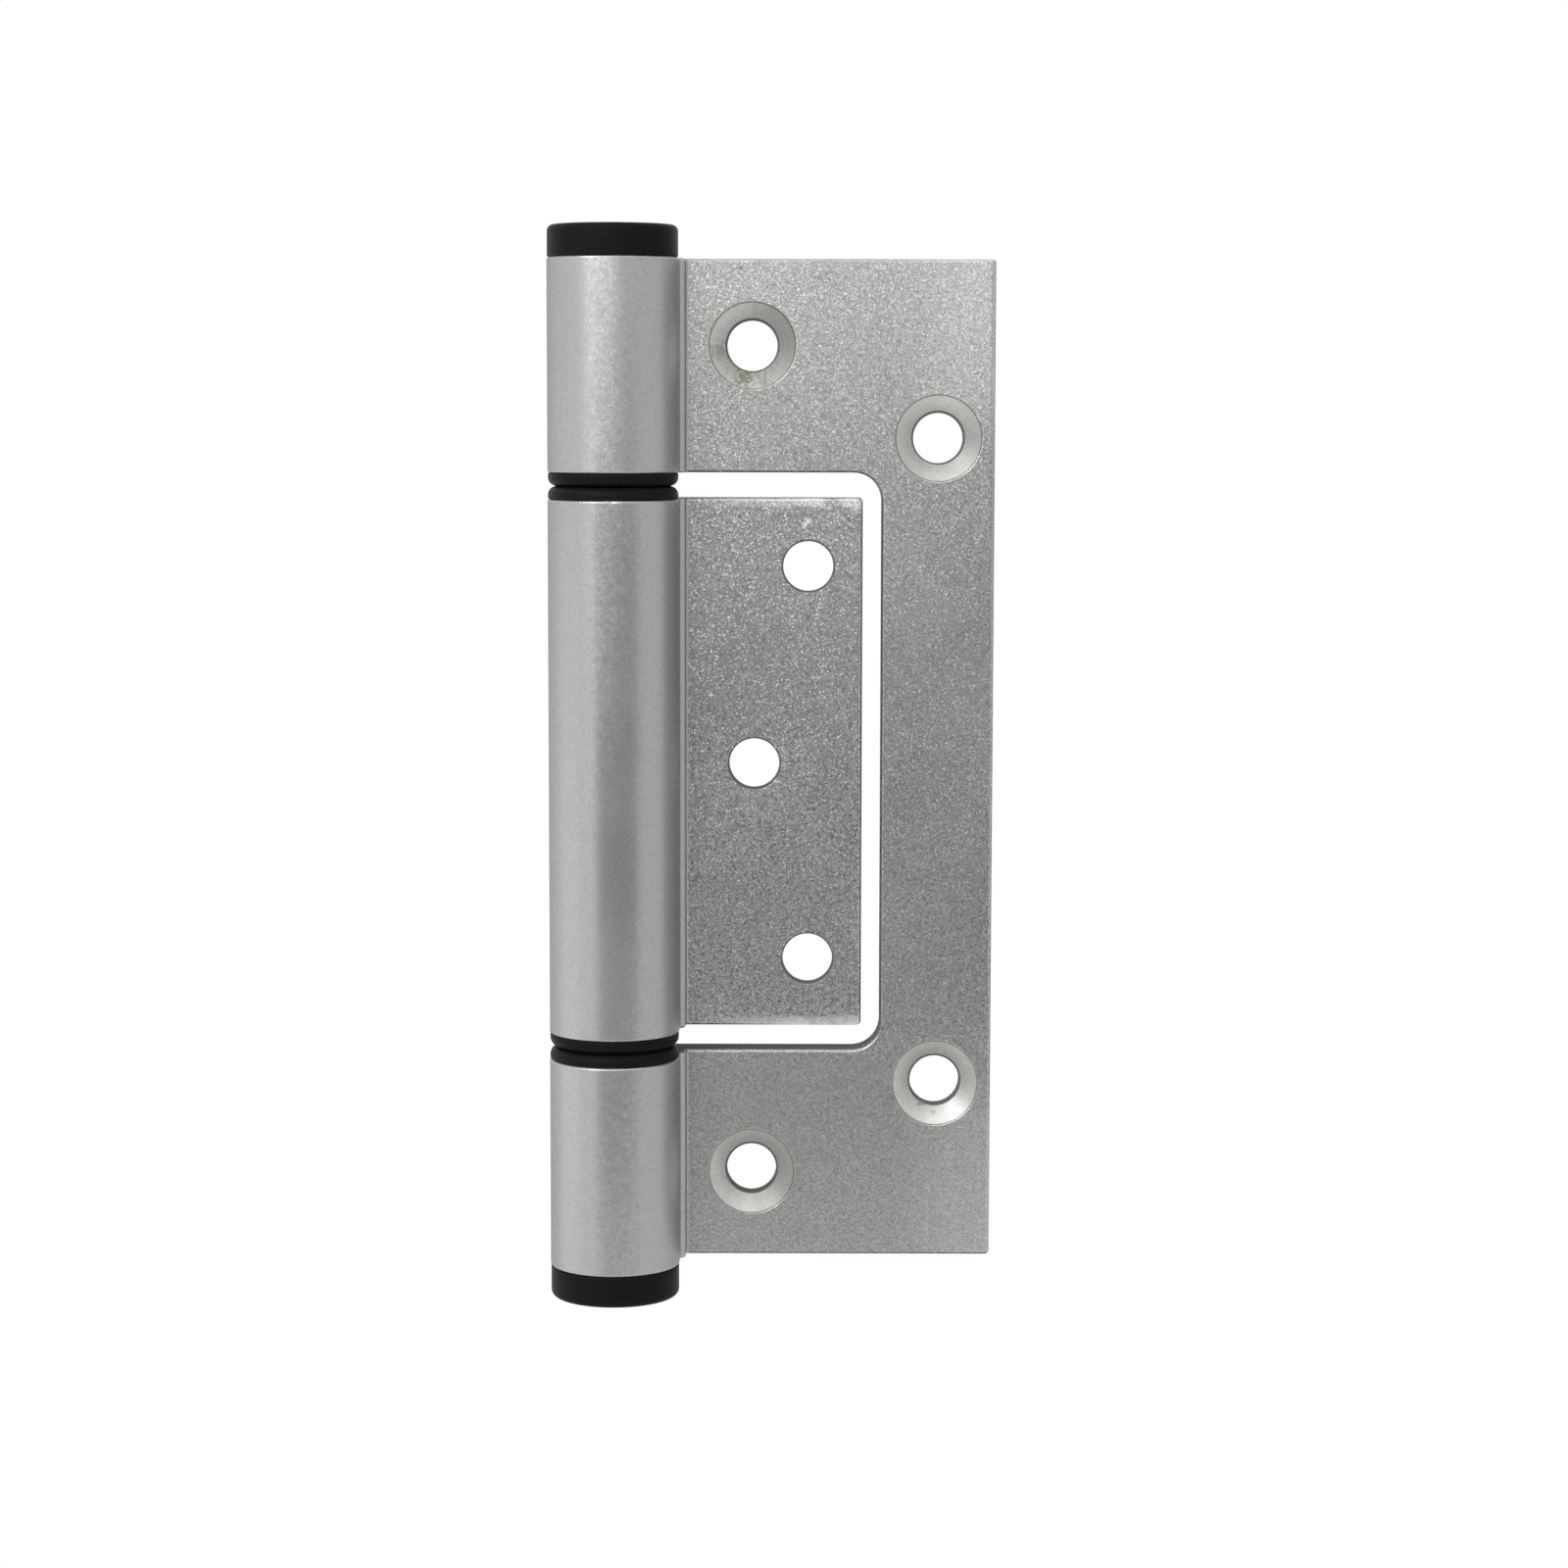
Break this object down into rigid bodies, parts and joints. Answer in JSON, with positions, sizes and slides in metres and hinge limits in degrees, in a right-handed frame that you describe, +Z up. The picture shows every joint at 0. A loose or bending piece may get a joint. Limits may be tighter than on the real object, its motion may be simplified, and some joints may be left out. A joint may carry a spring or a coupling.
{
  "type": "flush hinge",
  "caption": "Closed flush hinge: a small leaf nests in the window of a large leaf, both on a barrel with flanged bushes, a pin and end caps.",
  "frame": {"origin": "on the back face of the frame leaf, midway between the screw holes nearest the barrel", "axes": "+Z up along the pin, +X from the barrel to the leaves' far edges, -Y the side that the barrel stands out on"},
  "size_m": [0.0441, 0.0141, 0.1062],
  "materials": {
    "leaf_aluminium": "natural satin anodised, fine blasted grain on the flats",
    "black_nylon": "moulded, matt black",
    "pin_steel": "ground stainless steel"
  },
  "bodies": {
    "frame_side": {"frame_leaf": "leaf_aluminium", "hinge_pin": "pin_steel", "top_end_cap": "black_nylon", "bottom_end_cap": "black_nylon", "upper_knuckle_bush": "black_nylon", "lower_knuckle_bush": "black_nylon"},
    "sash_side": {"sash_leaf": "leaf_aluminium", "centre_upper_bush": "black_nylon", "centre_lower_bush": "black_nylon"}
  },
  "joints": [
    {"name": "leaf_swing", "type": "hinge", "parent": "frame_side", "child": "sash_side", "pos_m": [-0.0136, -0.0077, 0], "axis": [0, 0, -1], "range_deg": [0, 180]}
  ]
}
